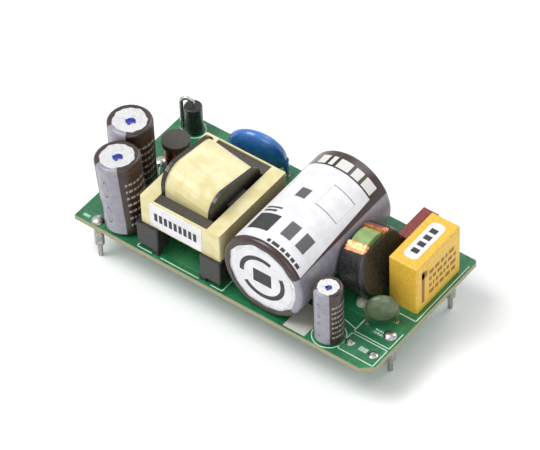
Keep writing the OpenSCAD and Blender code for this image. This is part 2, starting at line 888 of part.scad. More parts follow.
module film_capacitor_sticker() {
    low = film_centre - sticker_size / 2;
    color("white") raised() translate([0, 0, film_height]) linear_extrude(sticker_thick)
        rounded_rectangle(low, low + sticker_size, sticker_size[0] * 0.35);
}

module fuse() {
    color("indianred") raised() moulded_box(fuse_box, fuse_height, fuse_edge);
}

module fuse_leads() {
    color("silver") raised() for (p = fuse_holes) lead(p, 0);
}

module adhesive_dab() {
    color("whitesmoke") raised() {
        translate([dab_centre[0], dab_centre[1], 0]) dome(1.1, 1.3);
        translate([dab_centre[0] - 0.6, dab_centre[1] + 0.4, 0]) dome(0.8, 0.8);
    }
}

module dome(radius, height) {
    rotate_extrude() polygon(concat([[0, 0]], [for (i = [0 : 8]) let (a = 90 * i / 8)
        [radius * cos(a), height * sin(a)]]));
}

/* Parts under the board: in the local frame +Z points away from the board */

module below(x, y) {
    raised() translate([x, y, -board_thick]) rotate([180, 0, 0]) children();
}

// A bent strip that leaves a body's side, steps down and lies flat on its pad
module gull_lead(reach, drop, width) {
    t = chip_lead_thick;
    rotate([90, 0, 0]) translate([0, 0, -width / 2]) linear_extrude(width) {
        translate([-0.4, drop]) square([0.4 + reach * 0.45, t]);
        translate([reach * 0.45 - t, 0]) square([t, drop + t]);
        translate([reach * 0.45 - t, 0]) square([reach * 0.55 + t, t]);
    }
}

// Moulded body standing a little off the board, with bent leads along two sides
module gull_chip(size, lead_count, pitch, width, reach) {
    stand = 0.1;
    drop = stand + size[2] * 0.42;
    translate([-size[0] / 2, -size[1] / 2, stand]) cube(size);
    for (side = [0, 1]) rotate([0, 0, 180 * side])
        for (i = [0 : lead_count - 1])
            translate([size[0] / 2, (i - (lead_count - 1) / 2) * pitch, 0])
                gull_lead(reach, drop, width);
}

module bridge_rectifier() {
    color("dimgray") below(14.8, -12) gull_chip([6, 4.8, 1.5], 2, 2.5, 0.6, 1);
}

module switching_controller() {
    color("dimgray") below(3.5, 9) gull_chip([3.9, 4.9, 1.5], 4, 1.27, 0.42, 1.1);
}

module optocoupler() {
    color("dimgray") below(-6.5, 9.3) gull_chip([6.4, 4.4, 2.2], 2, 2.54, 0.5, 1.4);
}

module output_rectifier() {
    color("dimgray") below(-21, -4.5) gull_chip([5.4, 4.6, 2.2], 1, 1, 2.2, 1);
}

// Small ceramic chips, each with a metal cap at its two ends
module chip(size) {
    translate([-size[0] / 2, -size[1] / 2, 0]) cube(size);
}

module chip_resistors() {
    size = [2, 1.25, 0.5];
    color("dimgray") {
        for (i = [0 : 3]) below(4.5 + i * 3, -2) rotate([0, 0, 90]) chip(size);
        for (i = [0 : 2]) below(-10.2 + i * 2.2, -5) rotate([0, 0, 90]) chip(size);
        for (y = [3.2, 6]) below(11, y) chip(size);
    }
}

module chip_capacitors() {
    size = [3.2, 1.6, 1.1];
    color("tan") {
        for (y = [-9, -6.2]) below(6.5, y) chip(size);
        below(-11, 2.2) chip(size);
        below(-24, -8.6) chip(size);
    }
}

circuit_board();
terminal(output_front, terminal_shank_height);  // output_terminal_front
terminal(output_back, terminal_shank_height);  // output_terminal_back
terminal(input_front, terminal_shank_height);  // input_terminal_front
terminal(input_back, 0);  // input_terminal_back
terminal_solder();
lead_solder();
reservoir_can();
reservoir_sleeve();
reservoir_seal();
reservoir_leads();
reservoir_label();
reservoir_end_sticker();
output_can_a();
output_sleeve_a();
output_seal_a();
output_leads_a();
output_can_b();
output_sleeve_b();
output_seal_b();
output_leads_b();
bias_can();
bias_sleeve();
bias_seal();
bias_leads();
transformer_core_left();
transformer_core_right();
transformer_core_tape();
transformer_bobbin();
transformer_winding();
transformer_winding_tape();
transformer_pins();
transformer_label();
output_choke_core();
output_choke_winding();
snubber_diode();
snubber_diode_leads();
disc_capacitor();
disc_capacitor_leads();
line_choke_core();
line_choke_winding_front();
line_choke_winding_back();
line_choke_wrap();
film_capacitor_case();
film_capacitor_fill();
film_capacitor_leads();
film_capacitor_sticker();
fuse();
fuse_leads();
thermistor();
thermistor_leads();
adhesive_dab();
bridge_rectifier();
switching_controller();
optocoupler();
output_rectifier();
chip_resistors();
chip_capacitors();
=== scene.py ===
import math
import bmesh
import bpy
import numpy as np
from mathutils import Matrix, Vector


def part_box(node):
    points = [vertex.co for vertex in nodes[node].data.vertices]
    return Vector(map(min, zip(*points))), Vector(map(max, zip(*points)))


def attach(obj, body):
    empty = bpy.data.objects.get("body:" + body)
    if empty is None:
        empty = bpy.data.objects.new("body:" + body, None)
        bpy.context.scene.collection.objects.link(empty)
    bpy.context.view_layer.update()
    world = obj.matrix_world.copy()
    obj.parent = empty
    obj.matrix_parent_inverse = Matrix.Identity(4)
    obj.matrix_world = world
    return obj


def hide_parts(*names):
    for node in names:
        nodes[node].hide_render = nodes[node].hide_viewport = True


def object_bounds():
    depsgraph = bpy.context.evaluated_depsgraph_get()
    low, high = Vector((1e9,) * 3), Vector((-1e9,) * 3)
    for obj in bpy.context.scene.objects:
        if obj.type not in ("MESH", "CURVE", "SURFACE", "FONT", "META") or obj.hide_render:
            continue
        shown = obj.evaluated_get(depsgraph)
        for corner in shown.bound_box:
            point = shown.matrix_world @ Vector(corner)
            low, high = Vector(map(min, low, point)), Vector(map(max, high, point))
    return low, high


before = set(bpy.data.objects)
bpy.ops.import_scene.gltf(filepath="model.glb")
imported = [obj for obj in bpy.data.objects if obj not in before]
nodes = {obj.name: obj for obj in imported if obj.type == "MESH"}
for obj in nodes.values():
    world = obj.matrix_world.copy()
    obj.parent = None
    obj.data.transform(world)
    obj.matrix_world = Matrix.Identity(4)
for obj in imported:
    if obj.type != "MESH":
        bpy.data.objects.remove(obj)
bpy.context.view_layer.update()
mm = 0.001
nodeSharpAngle, pieceSharpAngle = 35, 40  # degrees; edges sharper than these stay crisp
lift = 0.012 * mm  # how far print stands off what it is printed on


# ---- colours and nodes


def linearColour(hexText, alpha=1.0):  # sRGB hex to linear: the usual two-part curve
    parts = [int(hexText[i:i + 2], 16) / 255 for i in (1, 3, 5)]
    return [p / 12.92 if p <= 0.04045 else ((p + 0.055) / 1.055) ** 2.4 for p in parts] + [alpha]


def addNode(tree, kind, settings=None, links=None):
    node = tree.nodes.new(kind)
    for key, value in (settings or {}).items():
        setattr(node, key, value)
    for key, value in (links or {}).items():
        if isinstance(value, bpy.types.NodeSocket):
            tree.links.new(value, node.inputs[key])
        else:
            node.inputs[key].default_value = value
    return node


def newMaterial(name, colour, roughness, metallic=0.0, **sockets):
    material = bpy.data.materials.new(name)
    material.use_nodes = True
    tree = material.node_tree
    shader = tree.nodes["Principled BSDF"]
    shader.inputs["Base Color"].default_value = linearColour(colour)
    shader.inputs["Roughness"].default_value = roughness
    shader.inputs["Metallic"].default_value = metallic
    for key, value in sockets.items():
        shader.inputs[key.replace("_", " ")].default_value = value
    return material, tree, shader


def objectPoint(tree):  # object coordinates in millimetres
    coords = addNode(tree, "ShaderNodeTexCoord")
    return addNode(tree, "ShaderNodeMapping", None,
                   {"Vector": coords.outputs["Object"], "Scale": [1 / mm] * 3}).outputs["Vector"]


def mixColours(tree, factor, first, second):
    node = addNode(tree, "ShaderNodeMix", {"data_type": "RGBA"})
    for index, value in ((0, factor), (6, first), (7, second)):
        if isinstance(value, bpy.types.NodeSocket):
            tree.links.new(value, node.inputs[index])
        else:
            node.inputs[index].default_value = linearColour(value) if isinstance(value, str) else value
    return node.outputs[2]


def valueMap(tree, value, low, high, toLow=0.0, toHigh=1.0):
    return addNode(tree, "ShaderNodeMapRange", {"interpolation_type": "SMOOTHSTEP"},
                   {"Value": value, "From Min": low, "From Max": high,
                    "To Min": toLow, "To Max": toHigh}).outputs["Result"]


def mathNode(tree, operation, *values):
    return addNode(tree, "ShaderNodeMath", {"operation": operation}, dict(enumerate(values))).outputs[0]


def mottle(tree, shader, size, colours, roughness, bump=0.0, detail=4.0):
    # noise of one real size in mm: it mixes the colours, sets the roughness and lifts the surface
    point = objectPoint(tree)
    noise = addNode(tree, "ShaderNodeTexNoise", None,
                    {"Vector": point, "Scale": 1 / size, "Detail": detail}).outputs["Fac"]
    spread = valueMap(tree, noise, 0.35, 0.65)
    tree.links.new(mixColours(tree, spread, *colours), shader.inputs["Base Color"])
    tree.links.new(valueMap(tree, noise, 0.3, 0.7, *roughness), shader.inputs["Roughness"])
    if bump:
        addBump(tree, shader, noise, bump)


def addBump(tree, shader, height, depth):  # depth in millimetres
    bump = addNode(tree, "ShaderNodeBump", None, {"Height": height, "Strength": 1.0, "Distance": depth * mm})
    tree.links.new(bump.outputs["Normal"], shader.inputs["Normal"])


# ---- meshes


def meshPiece(name, points, faces, material, replaced=()):  # makes and shades a piece, hangs it on the root body and hides the nodes it replaces
    mesh = bpy.data.meshes.new(name)
    mesh.from_pydata(np.asarray(points, float).tolist(), [], faces)
    mesh.validate()
    work = bmesh.new()
    work.from_mesh(mesh)
    bmesh.ops.recalc_face_normals(work, faces=work.faces)
    work.to_mesh(mesh)
    work.free()
    mesh.materials.append(material)
    shadeByAngle(mesh, pieceSharpAngle)
    piece = bpy.data.objects.new(name, mesh)
    bpy.context.scene.collection.objects.link(piece)
    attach(piece, "root")
    if replaced:
        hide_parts(*replaced)
    return piece


def shadeByAngle(mesh, degrees):
    mesh.polygons.foreach_set("use_smooth", np.ones(len(mesh.polygons), bool))
    mesh.set_sharp_from_angle(angle=math.radians(degrees))


def gridFaces(rows, columns, closed=False, start=0):
    # quads of a two-parameter grid, as a list; a closed grid joins its last column to its first
    r, c = np.meshgrid(np.arange(rows - 1), np.arange(columns if closed else columns - 1), indexing="ij")
    r, c = r.ravel(), c.ravel()
    after = (c + 1) % columns
    quads = [r * columns + c, r * columns + after, (r + 1) * columns + after, (r + 1) * columns + c]
    return (start + np.stack(quads, 1)).tolist()


def unitVector(v):
    v = np.asarray(v, float)
    return v / np.linalg.norm(v)


def axisFrame(axis):  # two directions square to an axis, the first one near +X
    axis = unitVector(axis)
    start = np.array([1, 0, 0.02])
    side = unitVector(start - axis * np.dot(start, axis))
    return side, np.cross(axis, side), axis


def cornerArc(centre, radius, fromAngle, toAngle, steps=8):  # points of an arc, angles in degrees
    a = np.radians(np.linspace(fromAngle, toAngle, steps + 1))
    return np.stack([centre[0] + radius * np.cos(a), centre[1] + radius * np.sin(a)], 1)


def boxOf(node):  # lowest corner, highest corner and middle of a node, as arrays
    low, high = [np.array(c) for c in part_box(node)]
    return low, high, (low + high) / 2


# ---- materials, each begun from the real stuff and how it is made


def glassEpoxyBoard():
    # FR4 under green solder mask: glossy green over blocks of copper, raw tan edges where it was cut
    material, tree, shader = newMaterial("GlassEpoxyBoard", "#1E8250", 0.34, Coat_Weight=0.25)
    coords = addNode(tree, "ShaderNodeTexCoord")
    point = objectPoint(tree)
    upward = mathNode(tree, "ABSOLUTE", addNode(tree, "ShaderNodeSeparateXYZ", None,
                      {"Vector": coords.outputs["Normal"]}).outputs["Z"])
    face = valueMap(tree, upward, 0.6, 0.8)
    pour = addNode(tree, "ShaderNodeTexVoronoi", {"distance": "CHEBYCHEV", "feature": "F1"},
                   {"Vector": point, "Scale": 0.16, "Randomness": 0.75})
    copper = valueMap(tree, pour.outputs["Distance"], 0.34, 0.36, 1, 0)
    speckle = addNode(tree, "ShaderNodeTexNoise", None,
                      {"Vector": point, "Scale": 1.4, "Detail": 5}).outputs["Fac"]
    mask = mixColours(tree, copper, "#14653C", "#1F7448")
    mask = mixColours(tree, valueMap(tree, speckle, 0.3, 0.7, 0, 0.35), mask, "#3E8A62")
    layers = addNode(tree, "ShaderNodeTexWave", {"bands_direction": "Z"}, {"Vector": point, "Scale": 0.9,
                     "Distortion": 1.5, "Detail": 3}).outputs["Fac"]
    edge = mixColours(tree, layers, "#8E8866", "#A8A27E")
    tree.links.new(mixColours(tree, face, edge, mask), shader.inputs["Base Color"])
    tree.links.new(valueMap(tree, face, 0, 1, 0.75, 0.36), shader.inputs["Roughness"])
    addBump(tree, shader, copper, 0.03)
    return material


def tinPlate(name, colour, roughness, size=0.5):  # dull tin: a pale grey metal clouded by handling
    material, tree, shader = newMaterial(name, colour, roughness, 1.0)
    mottle(tree, shader, size, (colour, "#8F8F8A"), (roughness - 0.08, roughness + 0.12), 0.004)
    return material


def drawnCan():  # deep drawn aluminium: nearly white metal, softly clouded
    material, tree, shader = newMaterial("DrawnAluminium", "#E4E4E4", 0.38, 1.0)
    mottle(tree, shader, 0.9, ("#E9E9EA", "#D2D2D4"), (0.3, 0.46), 0.004)
    return material


def shrinkSleeve():
    # printed PVC shrink sleeve: soft glossy plastic drawn tight, faintly rippled, brown with a pale stripe
    material, tree, shader = newMaterial("BrownShrinkSleeve", "#4E3632", 0.3, Coat_Weight=0.2)
    shader.inputs["Coat Roughness"].default_value = 0.22
    own = addNode(tree, "ShaderNodeAttribute", {"attribute_name": "ownPoint"}).outputs["Vector"]
    inside = addNode(tree, "ShaderNodeSeparateXYZ", None, {"Vector": own}).outputs["X"]
    edge = valueMap(tree, inside, -0.02, 0.02)
    stripe = mathNode(tree, "MULTIPLY", edge, edge)
    noise = addNode(tree, "ShaderNodeTexNoise", None, {"Vector": objectPoint(tree), "Scale": 0.9,
                    "Detail": 3}).outputs["Fac"]
    brown = mixColours(tree, valueMap(tree, noise, 0.3, 0.7), "#2A1614", "#38221F")
    pale = mixColours(tree, valueMap(tree, noise, 0.3, 0.7), "#8A8998", "#98979F")
    tree.links.new(mixColours(tree, stripe, brown, pale), shader.inputs["Base Color"])
    addBump(tree, shader, noise, 0.05)
    return material


def paleTape():  # polyester film tape: pale yellow, slightly clear, a little uneven where it was wound
    material, tree, shader = newMaterial("PolyesterTape", "#EFE6B8", 0.3, Coat_Weight=0.3)
    shader.inputs["Subsurface Weight"].default_value = 0.12
    shader.inputs["Subsurface Radius"].default_value = (0.0006, 0.0005, 0.0003)
    mottle(tree, shader, 3.0, ("#E6DDAE", "#D9CD94"), (0.24, 0.4), 0.06, 2.0)
    return material


def ferriteGrey():  # sintered ferrite: matt charcoal ceramic with a fine grain
    material, tree, shader = newMaterial("SinteredFerrite", "#46423E", 0.62)
    point = objectPoint(tree)
    grain = addNode(tree, "ShaderNodeTexNoise", None,
                    {"Vector": point, "Scale": 9, "Detail": 6}).outputs["Fac"]
    tree.links.new(mixColours(tree, valueMap(tree, grain, 0.3, 0.7), "#39352F", "#4F4A43"),
                   shader.inputs["Base Color"])
    addBump(tree, shader, grain, 0.02)
    return material


def mouldedBlack(name, colour, lighter, roughness):  # phenolic or epoxy moulding: black with a fine skin
    material, tree, shader = newMaterial(name, colour, roughness)
    mottle(tree, shader, 0.35, (colour, lighter), (roughness - 0.06, roughness + 0.1), 0.012)
    return material


def enamelledWire(name, colour, darker, coat):  # copper wire under clear enamel: metal with a gloss coat
    material, tree, shader = newMaterial(name, colour, 0.28, 1.0, Coat_Weight=coat)
    mottle(tree, shader, 0.8, (colour, darker), (0.22, 0.36))
    return material


def dippedCoating(name, colour, darker, roughness, bump):  # dipped epoxy: thick glossy skin, soft lumps
    material, tree, shader = newMaterial(name, colour, roughness, Coat_Weight=0.5)
    shader.inputs["Coat Roughness"].default_value = 0.16
    mottle(tree, shader, 1.6, (colour, darker), (roughness - 0.06, roughness + 0.08), bump, 3.0)
    return material


def casePlastic(name, colour, darker, roughness):  # moulded PBT case: even colour, satin, slight clouding
    material, tree, shader = newMaterial(name, colour, roughness)
    mottle(tree, shader, 0.5, (colour, darker), (roughness - 0.06, roughness + 0.08), 0.008)
    return material


def paperLabel():  # coated white paper or film: clean, satin, a trace of blue
    material, tree, shader = newMaterial("WhiteFilmLabel", "#E6E6EA", 0.42, Coat_Weight=0.15)
    mottle(tree, shader, 2.0, ("#E8E8EC", "#DEDEE3"), (0.36, 0.5), 0.01)
    return material


def hotGlue():  # silicone or hot-melt dab: milky, lets light in, wet gloss
    material, tree, shader = newMaterial("MilkyAdhesive", "#DADCD6", 0.22, Coat_Weight=0.4)
    shader.inputs["Subsurface Weight"].default_value = 0.6
    shader.inputs["Subsurface Radius"].default_value = (0.0012, 0.0012, 0.001)
    mottle(tree, shader, 0.9, ("#E2E4DF", "#C8CCC5"), (0.16, 0.3), 0.05)
    return material


def flatInk(name, colour, roughness=0.5):  # printing ink: thin, matt, slightly uneven in cover
    material, tree, shader = newMaterial(name, colour, roughness)
    point = objectPoint(tree)
    cover = addNode(tree, "ShaderNodeTexNoise", None,
                    {"Vector": point, "Scale": 3.5, "Detail": 4}).outputs["Fac"]
    pale = mixColours(tree, valueMap(tree, cover, 0.55, 0.8, 0, 0.25), colour, "#8C8C88")
    tree.links.new(pale, shader.inputs["Base Color"])
    return material


finishes = {
    "board_laminate": glassEpoxyBoard(),
    "tinned_terminal": tinPlate("TinnedBrassPin", "#B9B9B2", 0.36),
    "solder": tinPlate("TinSolder", "#C4C4C2", 0.24, 0.7),
    "can_metal": drawnCan(),
    "brown_sleeve": shrinkSleeve(),
    "seal_rubber": mouldedBlack("ButylRubberSeal", "#1E1C1B", "#2B2928", 0.6),
    "tinned_wire": tinPlate("TinnedCopperWire", "#C2C2BE", 0.3),
    "white_label": paperLabel(),
    "ferrite": ferriteGrey(),
    "yellow_tape": paleTape(),
    "bobbin_plastic": mouldedBlack("PhenolicBobbin", "#1D1C1B", "#2A2827", 0.32),
    "copper_wire": enamelledWire("EnamelledCopper", "#F0A878", "#C87848", 0.6),
    "dark_copper_wire": enamelledWire("DarkEnamelledCopper", "#8A3E22", "#5A2614", 0.6),
    "black_epoxy": mouldedBlack("BlackEpoxyBody", "#191919", "#262626", 0.28),
    "blue_coating": dippedCoating("BlueEpoxyDip", "#2F74C0", "#2462AC", 0.22, 0.06),
    "green_core_coating": dippedCoating("GreenEpoxyCore", "#8FAA66", "#7C965A", 0.4, 0.03),
    "black_shrink": mouldedBlack("BlackShrinkTube", "#1B1B1C", "#29292A", 0.3),
    "yellow_case": casePlastic("YellowPbtCase", "#E9BE48", "#DDB03A", 0.42),
    "potting": casePlastic("YellowPotting", "#C79A3A", "#A97F2C", 0.5),
    "red_brown_case": casePlastic("RedBrownCase", "#8A3A32", "#74302A", 0.4),
    "green_grey_coating": dippedCoating("GreenGreyDip", "#5F6E4E", "#4E5C40", 0.42, 0.05),
    "adhesive": hotGlue(),
    "chip_moulding": mouldedBlack("ChipMoulding", "#222222", "#303030", 0.5),
    "chip_resistor_body": mouldedBlack("ChipResistorGlaze", "#141416", "#222226", 0.3),
    "chip_capacitor_body": casePlastic("ChipCapacitorCeramic", "#A98A66", "#8F7352", 0.5),
}
print("materials:", len(finishes))


# ---- the CAD nodes take the finishes by their material slots

for node in nodes.values():
    for i, held in enumerate(node.data.materials):
        node.data.materials[i] = finishes[held.name.split(".")[0]]
    shadeByAngle(node.data, nodeSharpAngle)


# ---- cans: each has its own frame, its foot at the origin and its axis up it

sleeveShape = {"wall": 0.16, "segments": 144, "ripple": 0.03, "rimWander": 0.22, "waves": (3, 5, 8, 13),
               "clearance": 0.1}  # wall, ripple and clearance in mm; rimWander is a share of the rim's width
uprightCans = {  # stripe: middle and half width in degrees; edge in mm; lip as a share of the radius
    "a": {"sleeve": "output_sleeve_a", "seal": "output_seal_a", "stripe": (-84, 33), "edge": 0.6,
          "lip": 0.78, "seed": 3},
    "b": {"sleeve": "output_sleeve_b", "seal": "output_seal_b", "stripe": (-92, 30), "edge": 0.6,
          "lip": 0.78, "seed": 8},
    "bias": {"sleeve": "bias_sleeve", "seal": "bias_seal", "stripe": (-88, 38), "edge": 0.5,
             "lip": 0.76, "seed": 5},
}
lyingCan = {"stripe": (4, 31), "edge": 0.8, "lip": 0.84, "seed": 11}


def surfaceCentre(node):  # centre of a node's surface, each triangle weighed by its area, and its points
    mesh = nodes[node].data
    mesh.calc_loop_triangles()
    points = np.empty(len(mesh.vertices) * 3)
    mesh.vertices.foreach_get("co", points)
    points = points.reshape(-1, 3)
    corners = np.empty(len(mesh.loop_triangles) * 3, int)
    mesh.loop_triangles.foreach_get("vertices", corners)
    first, second, third = points[corners.reshape(-1, 3)].transpose(1, 0, 2)
    area = np.linalg.norm(np.cross(second - first, third - first), axis=1)
    return ((first + second + third) / 3 * area[:, None]).sum(0) / area.sum(), points


def uprightFrame(sleeve, seal):  # the axis runs from the seal's centre to the sleeve's
    centre, points = surfaceCentre(sleeve)
    side, other, axis = axisFrame(centre - surfaceCentre(seal)[0])
    along = (points - centre) @ axis
    away = np.linalg.norm(points - centre - along[:, None] * axis, axis=1)
    return {"origin": centre + axis * along.min(), "side": side, "other": other, "axis": axis,
            "height": along.max() - along.min(), "radius": away.max()}


def lyingFrame(sleeve):  # the axis runs from the front end to the back, the side along +X
    low, high, middle = boxOf(sleeve)
    return {"origin": np.array([middle[0], low[1], middle[2]]), "side": np.array([1.0, 0, 0]),
            "other": np.array([0, 0, -1.0]), "axis": np.array([0, 1.0, 0]),
            "height": high[1] - low[1], "radius": (high[0] - low[0]) / 2}


def onCan(can, radius, angle, height):  # origin + radius (cos side + sin other) + height axis
    radius, angle, height = np.broadcast_arrays(radius, angle, height)
    across = np.cos(angle)[..., None] * can["side"] + np.sin(angle)[..., None] * can["other"]
    return can["origin"] + radius[..., None] * across + height[..., None] * can["axis"]


def makeSleeve(name, can, node, look):
    # a tube with rolled edges, turned about the can's axis; its rims run in and out by a sum of sines,
    # and its wall sinks by a little of the same sum
    r, h, edge, wall = can["radius"], can["height"], look["edge"] * mm, sleeveShape["wall"] * mm
    lip = r * look["lip"]
    outline = np.concatenate([
        [[lip, wall * 1.5], [lip, 0]], cornerArc((r - edge, edge), edge, -90, 0),
        cornerArc((r - edge, h - edge), edge, 0, 90), [[lip, h], [lip - wall, h - wall]]])
    phases = np.random.default_rng(look["seed"]).uniform(0, 6.28, 4)
    turn = np.linspace(0, 2 * np.pi, sleeveShape["segments"], endpoint=False)
    wave = sum(np.sin(k * turn + p) for k, p in zip(sleeveShape["waves"], phases)) / len(phases)
    radius, height = outline[:, :1], outline[:, 1:]
    inward = np.clip((r - radius) / (r - lip + 1e-9), 0, 1) ** 2
    radius = (radius + inward * wave * (r - lip) * sleeveShape["rimWander"]
              - (1 - inward) * abs(wave) * sleeveShape["ripple"] * mm)
    grid = onCan(can, radius, turn, height)
    piece = meshPiece(name, grid.reshape(-1, 3), gridFaces(len(outline), len(turn), True),
                      finishes["brown_sleeve"], [node])
    # how far inside the stripe's edges each point lies, in radians
    middle, half = np.radians(look["stripe"])
    inside = half - np.abs((turn - middle + np.pi) % (2 * np.pi) - np.pi)
    own = np.stack([np.broadcast_to(inside, radius.shape)] * 2 + [0 * radius], -1)
    piece.data.attributes.new("ownPoint", "FLOAT_VECTOR", "POINT").data.foreach_set(
        "vector", own.reshape(-1).astype(np.float32))


# ---- print: thin fields and lines laid out in (u, v) and carried to a surface by a place function

def patches(name, rects, place, ink, steps=2):  # filled fields, each (u0, v0, u1, v1)
    points, faces = [], []
    for k, (u0, v0, u1, v1) in enumerate(rects):
        u, v = np.meshgrid(np.linspace(u0, u1, steps), np.linspace(v0, v1, 2), indexing="ij")
        points.append(place(u, v).reshape(-1, 3))
        faces += gridFaces(steps, 2, start=k * steps * 2)
    meshPiece(name, np.concatenate(points), faces, ink)


def strokes(name, lines, width, place, ink):  # painted lines of even width
    points, faces, count = [], [], 0
    for line in lines:
        line = np.asarray(line, float)
        along = np.gradient(line, axis=0)
        along /= np.linalg.norm(along, axis=1)[:, None]
        across = np.stack([-along[:, 1], along[:, 0]], 1) * width / 2
        both = np.stack([line - across, line + across], 1)
        points.append(place(both[..., 0], both[..., 1]).reshape(-1, 3))
        faces += gridFaces(len(line), 2, start=count)
        count += len(line) * 2
    meshPiece(name, np.concatenate(points), faces, ink)


def ringLine(cu, cv, radius, fromAngle=0, toAngle=360, steps=40):  # points of an arc, angles in degrees
    a = np.radians(np.linspace(fromAngle, toAngle, steps))
    return np.stack([cu + radius * np.cos(a), cv + radius * np.sin(a)], 1)


def straightLines(points, steps=12):  # a line through corners, with enough points that they stay square
    return np.concatenate([np.linspace(a, b, steps) for a, b in zip(points[:-1], points[1:])])


def inkRows(u0, u1, v0, v1, rows, seed, fill):  # rows of short blocks where print stands, no letters
    rng = np.random.default_rng(seed)
    blocks, pitch = [], (v1 - v0) / rows
    for k in range(rows):
        u = u0
        while u < u1 - 0.05 * abs(u1 - u0):
            wide = (u1 - u0) * rng.uniform(0.06, 0.2)
            blocks.append((u, v0 + k * pitch, min(u + wide, u1), v0 + (k + fill) * pitch))
            u += wide + (u1 - u0) * 0.05
    return blocks


def flatPlace(origin, uAxis, vAxis):  # a plane: origin + u uAxis + v vAxis, with u and v in millimetres
    origin, uAxis, vAxis = [np.asarray(v, float) for v in (origin, uAxis, vAxis)]

    def place(u, v):
        u, v = np.broadcast_arrays(u, v)
        return origin + u[..., None] * mm * uAxis + v[..., None] * mm * vAxis
    return place


def roundPlace(can, radius, sense=1):  # a can's side: u in degrees round it, v in millimetres up it
    return lambda u, v: onCan(can, radius, np.radians(sense * u), v * mm)


def printUprightCan(key, can, look):
    r, top, stripe = can["radius"], can["height"] / mm, look["stripe"][0]
    side = roundPlace(can, r + lift)
    near = inkRows(stripe + 46, stripe + 112, top * 0.14, top * 0.84, 7, look["seed"], 0.34)
    far = inkRows(stripe + 150, stripe + 250, top * 0.2, top * 0.8, 6, look["seed"] + 1, 0.4)
    patches("sleeve_print_" + key, near + far, side, sleeveInk, 5)
    loop = ringLine(0, 0, 1) * [6.5, 1.7]
    strokes("stripe_marks_" + key, [loop + [stripe - 6, top * share] for share in (0.3, 0.68)], 0.25, side,
            darkInk)
    metalTop = flatPlace(can["origin"] + (can["height"] - 0.02 * mm) * can["axis"], can["side"], can["other"])
    rMm = r / mm
    dab = [ringLine(0.1 * rMm, -0.05 * rMm, 0.13 * rMm, 0, 300, 16),
           np.array([[-0.12, -0.16], [0.2, 0.1]]) * rMm]
    strokes("marker_dab_" + key, dab, 0.16 * rMm, metalTop, blueInk)


whiteInk = flatInk("WhitePrint", "#DADAD6")
sleeveInk = flatInk("PaleSleevePrint", "#A39A96")
silkInk = flatInk("PaleSilkPrint", "#C9E6D2")
boardWhiteInk = flatInk("WhiteBoardPrint", "#C9CBC0")
darkInk = flatInk("DarkPrint", "#26262A")
greyInk = flatInk("GreyPrint", "#55555A")
brownInk = flatInk("BrownPrint", "#8A6420")
blueInk = flatInk("BlueMarkerInk", "#3340A8", 0.35)

for key, look in uprightCans.items():
    can = uprightFrame(look["sleeve"], look["seal"])
    makeSleeve("sleeve_" + key, can, look["sleeve"], look)
    printUprightCan(key, can, look)

bulk = lyingFrame("reservoir_sleeve")
makeSleeve("sleeve_reservoir", bulk, "reservoir_sleeve", lyingCan)


def printReservoir():  # on the side, u is the angle in degrees up from +X and v runs from the front end
    long = bulk["height"] / mm
    onSleeve = roundPlace(bulk, bulk["radius"] + sleeveShape["clearance"] * mm, -1)
    patches("reservoir_print", inkRows(40, 128, long - 4.2, long - 2.0, 1, 4, 1.0), onSleeve, whiteInk,
            7)
    onLabel = roundPlace(bulk, boxOf("reservoir_label")[1][2] - bulk["origin"][2] + 0.02 * mm, -1)
    darkFields = [(96, 3.0, 128, 7.2), (108, 7.8, 128, 8.3), (104, 8.7, 128, 9.1)]
    patches("reservoir_label_print", darkFields + inkRows(38, 88, 1.2, 1.9, 1, 6, 1.0), onLabel, darkInk,
            9)
    greyFields = [(46, 3.8, 60, 7.4), (68, 3.8, 82, 7.4), (92, 12.6, 106, 15.0)]
    patches("reservoir_label_fields", greyFields, onLabel, greyInk, 9)
    frameLine = straightLines([(44, 13.0), (78, 13.0), (78, 18.4), (44, 18.4), (44, 13.0)])
    strokes("reservoir_label_frames", [frameLine], 0.14, onLabel, greyInk)
    low, high, middle = boxOf("reservoir_end_sticker")
    onEnd = flatPlace((middle[0], low[1] - lift, middle[2]), (1, 0, 0), (0, 0, 1))
    brokenRing = [ringLine(0, 0, 4.3, 65, 185), ringLine(0, 0, 4.3, 215, 385)]
    strokes("end_sticker_rings", brokenRing, 0.9, onEnd, darkInk)
    patches("end_sticker_bars", [(-1.9, -1.5, 1.9, 1.5)], onEnd, darkInk)


def printBoard():  # u and v are the part's own X and Y in millimetres
    onBoard = flatPlace((0, 0, boxOf("circuit_board")[1][2] + lift), (1, 0, 0), (0, 1, 0))
    outlines = [
        [(24, -14.25), (31.25, -14.25)], [(31.25, -14.25), (31.25, -10.05)],
        [(31.25, -10.05), (24, -10.05)], [(24, -10.05), (24, -14.25)], [(24, -9.5), (31.25, -9.5)],
        [(31.25, -9.5), (31.25, -5.4)], [(24, -9.5), (24, -5.6)], [(21.2, -8.35), (24, -9)],
        [(31.3, -1.8), (31.3, 14)], [(26.5, -1.8), (31.3, -1.8)], [(-18.2, -15.3), (-15, -15.3)],
        [(-18.2, -15.3), (-18.2, -12)], [(-13.1, -15.3), (-4.8, -15.3)], [(0.3, -15.3), (0.3, -12)],
        [(-2.2, -15.3), (0.3, -15.3)]]
    rings = [ringLine(21.1, -12.7, 3.0), ringLine(-27.65, 13, 2.15), ringLine(-23.2, -11.6, 4.3, -20, 200),
             ringLine(-23.7, 3.1, 3.3)]
    strokes("silk_lines", [straightLines(line) for line in outlines] + rings, 0.2, onBoard, silkInk)
    patches("silk_fields", [(13.4, -15.5, 17.9, -9.0)], onBoard, boardWhiteInk)
    marks = (inkRows(27, 28.6, -12.6, -11.6, 1, 2, 1.0) + inkRows(26.8, 29.4, -7.9, -6.6, 2, 3, 0.6)
             + inkRows(-24.8, -22.8, 6.8, 8.0, 1, 9, 1.0) + inkRows(-30.6, -29.2, -15.0, -14.4, 1, 7, 1.0))
    patches("silk_marks", marks, onBoard, silkInk)


